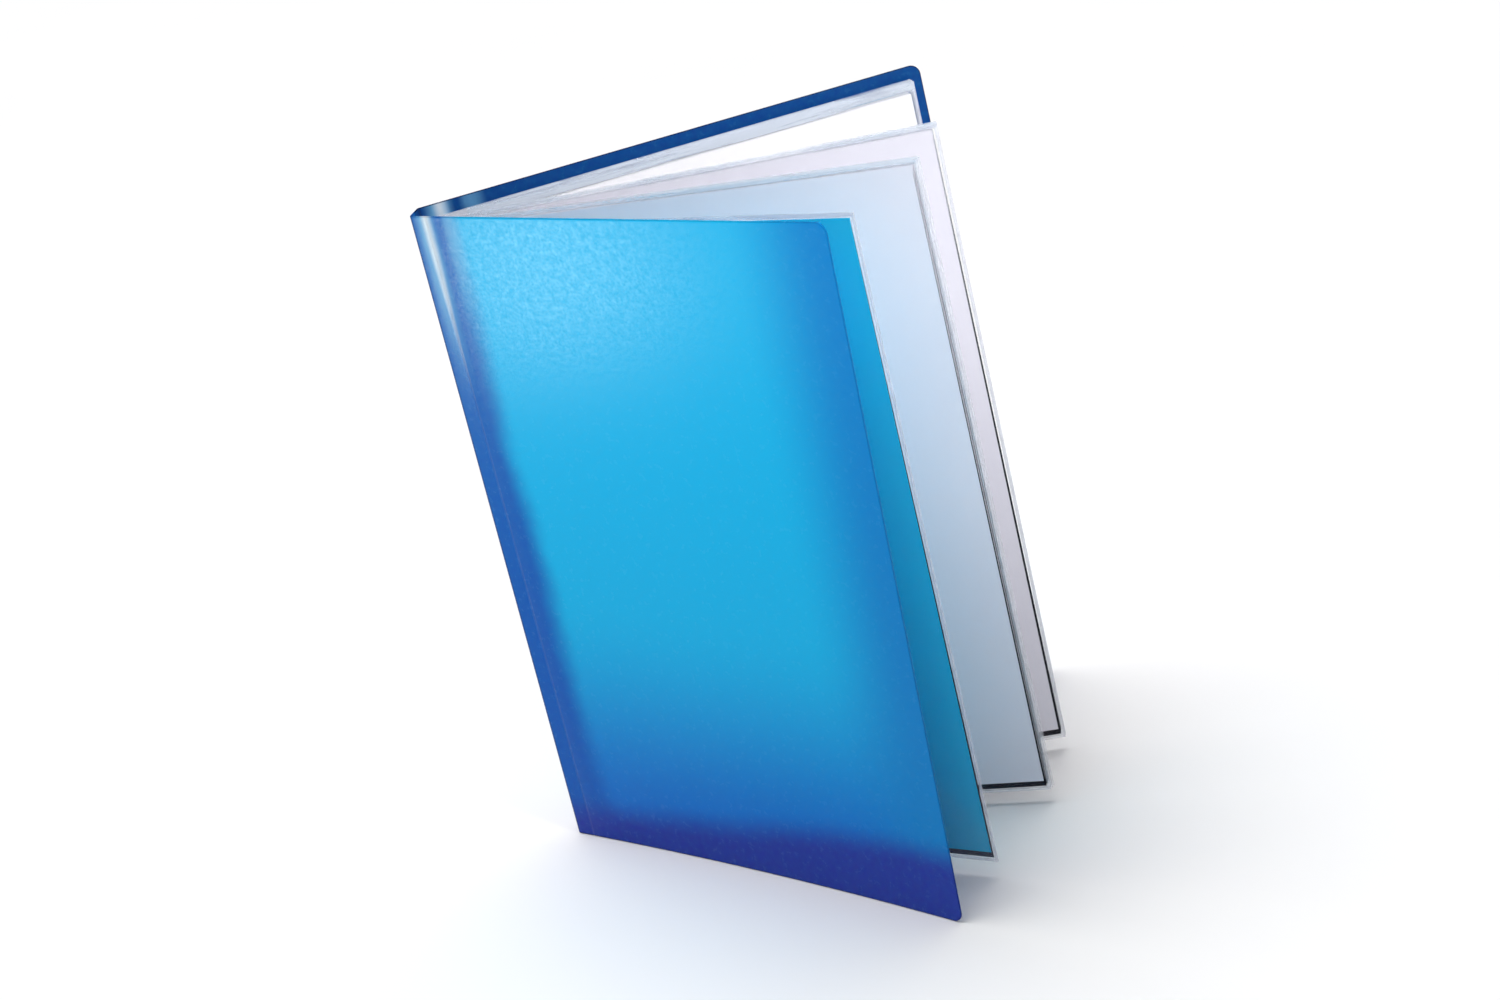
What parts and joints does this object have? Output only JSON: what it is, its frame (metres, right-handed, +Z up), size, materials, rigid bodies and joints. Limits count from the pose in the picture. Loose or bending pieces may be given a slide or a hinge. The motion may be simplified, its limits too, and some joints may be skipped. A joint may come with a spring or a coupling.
{
  "type": "pocket page binder",
  "caption": "Binder with a folded translucent plastic cover and a fan of clear full-page pocket leaves fused inside its spine.",
  "frame": {"origin": "centre of the spine panel's bottom edge, the spine's foot", "axes": "+Z up the spine, +X in the closed plane from the spine towards the free edges; the front cover opens towards -Y and the back cover towards +Y"},
  "size_m": [0.2386, 0.2348, 0.317],
  "materials": {
    "cover_blue": "translucent blue polypropylene sheet, fine frosted grain",
    "binding_plastic": "natural translucent polypropylene",
    "film_clear": "thin clear glossy film",
    "sheet_white": "smooth white paper",
    "sheet_teal": "smooth teal paper",
    "card_black": "matt black card"
  },
  "bodies": {
    "spine": {"spine_panel": "cover_blue", "front_fold": "cover_blue", "back_fold": "cover_blue", "binding_strip": "binding_plastic"},
    "front_cover": {"front_cover": "cover_blue"},
    "back_cover": {"back_cover": "cover_blue"},
    "leaf_01": {"leaf_01_margins": "film_clear", "leaf_01_front_film": "film_clear", "leaf_01_back_film": "film_clear", "leaf_01_paper_sheets": "sheet_teal", "leaf_01_black_card": "card_black"},
    "leaf_02": {"leaf_02_margins": "film_clear", "leaf_02_front_film": "film_clear", "leaf_02_back_film": "film_clear", "leaf_02_paper_sheets": "sheet_white", "leaf_02_black_card": "card_black"},
    "leaf_03": {"leaf_03_margins": "film_clear", "leaf_03_front_film": "film_clear", "leaf_03_back_film": "film_clear", "leaf_03_paper_sheets": "sheet_white", "leaf_03_black_card": "card_black"},
    "leaf_04": {"leaf_04_margins": "film_clear", "leaf_04_front_film": "film_clear", "leaf_04_back_film": "film_clear", "leaf_04_paper_sheets": "sheet_white", "leaf_04_black_card": "card_black"},
    "leaf_05": {"leaf_05_margins": "film_clear", "leaf_05_front_film": "film_clear", "leaf_05_back_film": "film_clear", "leaf_05_paper_sheets": "sheet_white", "leaf_05_black_card": "card_black"},
    "leaf_06": {"leaf_06_margins": "film_clear", "leaf_06_front_film": "film_clear", "leaf_06_back_film": "film_clear", "leaf_06_paper_sheets": "sheet_white", "leaf_06_black_card": "card_black"},
    "leaf_07": {"leaf_07_margins": "film_clear", "leaf_07_front_film": "film_clear", "leaf_07_back_film": "film_clear", "leaf_07_paper_sheets": "sheet_white", "leaf_07_black_card": "card_black"},
    "leaf_08": {"leaf_08_margins": "film_clear", "leaf_08_front_film": "film_clear", "leaf_08_back_film": "film_clear", "leaf_08_paper_sheets": "sheet_white", "leaf_08_black_card": "card_black"},
    "leaf_09": {"leaf_09_margins": "film_clear", "leaf_09_front_film": "film_clear", "leaf_09_back_film": "film_clear", "leaf_09_paper_sheets": "sheet_white", "leaf_09_black_card": "card_black"},
    "leaf_10": {"leaf_10_margins": "film_clear", "leaf_10_front_film": "film_clear", "leaf_10_back_film": "film_clear", "leaf_10_paper_sheets": "sheet_white", "leaf_10_black_card": "card_black"}
  },
  "joints": [
    {"name": "front_cover_hinge", "type": "hinge", "parent": "spine", "child": "front_cover", "pos_m": [0, -0.0056, 0], "axis": [0, 0, -1], "range_deg": [-27.3, 62.7]},
    {"name": "back_cover_hinge", "type": "hinge", "parent": "spine", "child": "back_cover", "pos_m": [0, 0.0056, 0], "axis": [0, 0, 1], "range_deg": [-27.3, 62.7]},
    {"name": "leaf_01_turn", "type": "hinge", "parent": "spine", "child": "leaf_01", "pos_m": [0.00272, -0.0045, 0], "axis": [0, 0, -1], "range_deg": [-21.42, 49.16]},
    {"name": "leaf_02_turn", "type": "hinge", "parent": "spine", "child": "leaf_02", "pos_m": [0.00335, -0.0035, 0], "axis": [0, 0, -1], "range_deg": [-5.57, 12.76]},
    {"name": "leaf_03_turn", "type": "hinge", "parent": "spine", "child": "leaf_03", "pos_m": [0.00378, -0.0025, 0], "axis": [0, 0, -1], "range_deg": [-5.31, 12.19]},
    {"name": "leaf_04_turn", "type": "hinge", "parent": "spine", "child": "leaf_04", "pos_m": [0.00405, -0.0015, 0], "axis": [0, 0, -1], "range_deg": [-5.07, 11.61]},
    {"name": "leaf_05_turn", "type": "hinge", "parent": "spine", "child": "leaf_05", "pos_m": [0.00418, -0.0005, 0], "axis": [0, 0, 1], "range_deg": [-6.47, 14.83]},
    {"name": "leaf_06_turn", "type": "hinge", "parent": "spine", "child": "leaf_06", "pos_m": [0.00418, 0.0005, 0], "axis": [0, 0, 1], "range_deg": [-6.71, 15.4]},
    {"name": "leaf_07_turn", "type": "hinge", "parent": "spine", "child": "leaf_07", "pos_m": [0.00405, 0.0015, 0], "axis": [0, 0, 1], "range_deg": [-6.97, 15.98]},
    {"name": "leaf_08_turn", "type": "hinge", "parent": "spine", "child": "leaf_08", "pos_m": [0.00378, 0.0025, 0], "axis": [0, 0, 1], "range_deg": [-26.52, 60.88]},
    {"name": "leaf_09_turn", "type": "hinge", "parent": "spine", "child": "leaf_09", "pos_m": [0.00335, 0.0035, 0], "axis": [0, 0, 1], "range_deg": [-26.86, 61.68]},
    {"name": "leaf_10_turn", "type": "hinge", "parent": "spine", "child": "leaf_10", "pos_m": [0.00272, 0.0045, 0], "axis": [0, 0, 1], "range_deg": [-27.22, 62.49]}
  ],
  "couplings": [
    {"joint": "leaf_01_turn", "follows": "front_cover_hinge", "ratio": 0.78388},
    {"joint": "leaf_02_turn", "follows": "front_cover_hinge", "ratio": 0.2033},
    {"joint": "leaf_03_turn", "follows": "front_cover_hinge", "ratio": 0.19414},
    {"joint": "leaf_04_turn", "follows": "front_cover_hinge", "ratio": 0.18498},
    {"joint": "leaf_05_turn", "follows": "back_cover_hinge", "ratio": 0.23626},
    {"joint": "leaf_06_turn", "follows": "back_cover_hinge", "ratio": 0.24542},
    {"joint": "leaf_07_turn", "follows": "back_cover_hinge", "ratio": 0.25458},
    {"joint": "leaf_08_turn", "follows": "back_cover_hinge", "ratio": 0.9707},
    {"joint": "leaf_09_turn", "follows": "back_cover_hinge", "ratio": 0.98352},
    {"joint": "leaf_10_turn", "follows": "back_cover_hinge", "ratio": 0.99634}
  ]
}
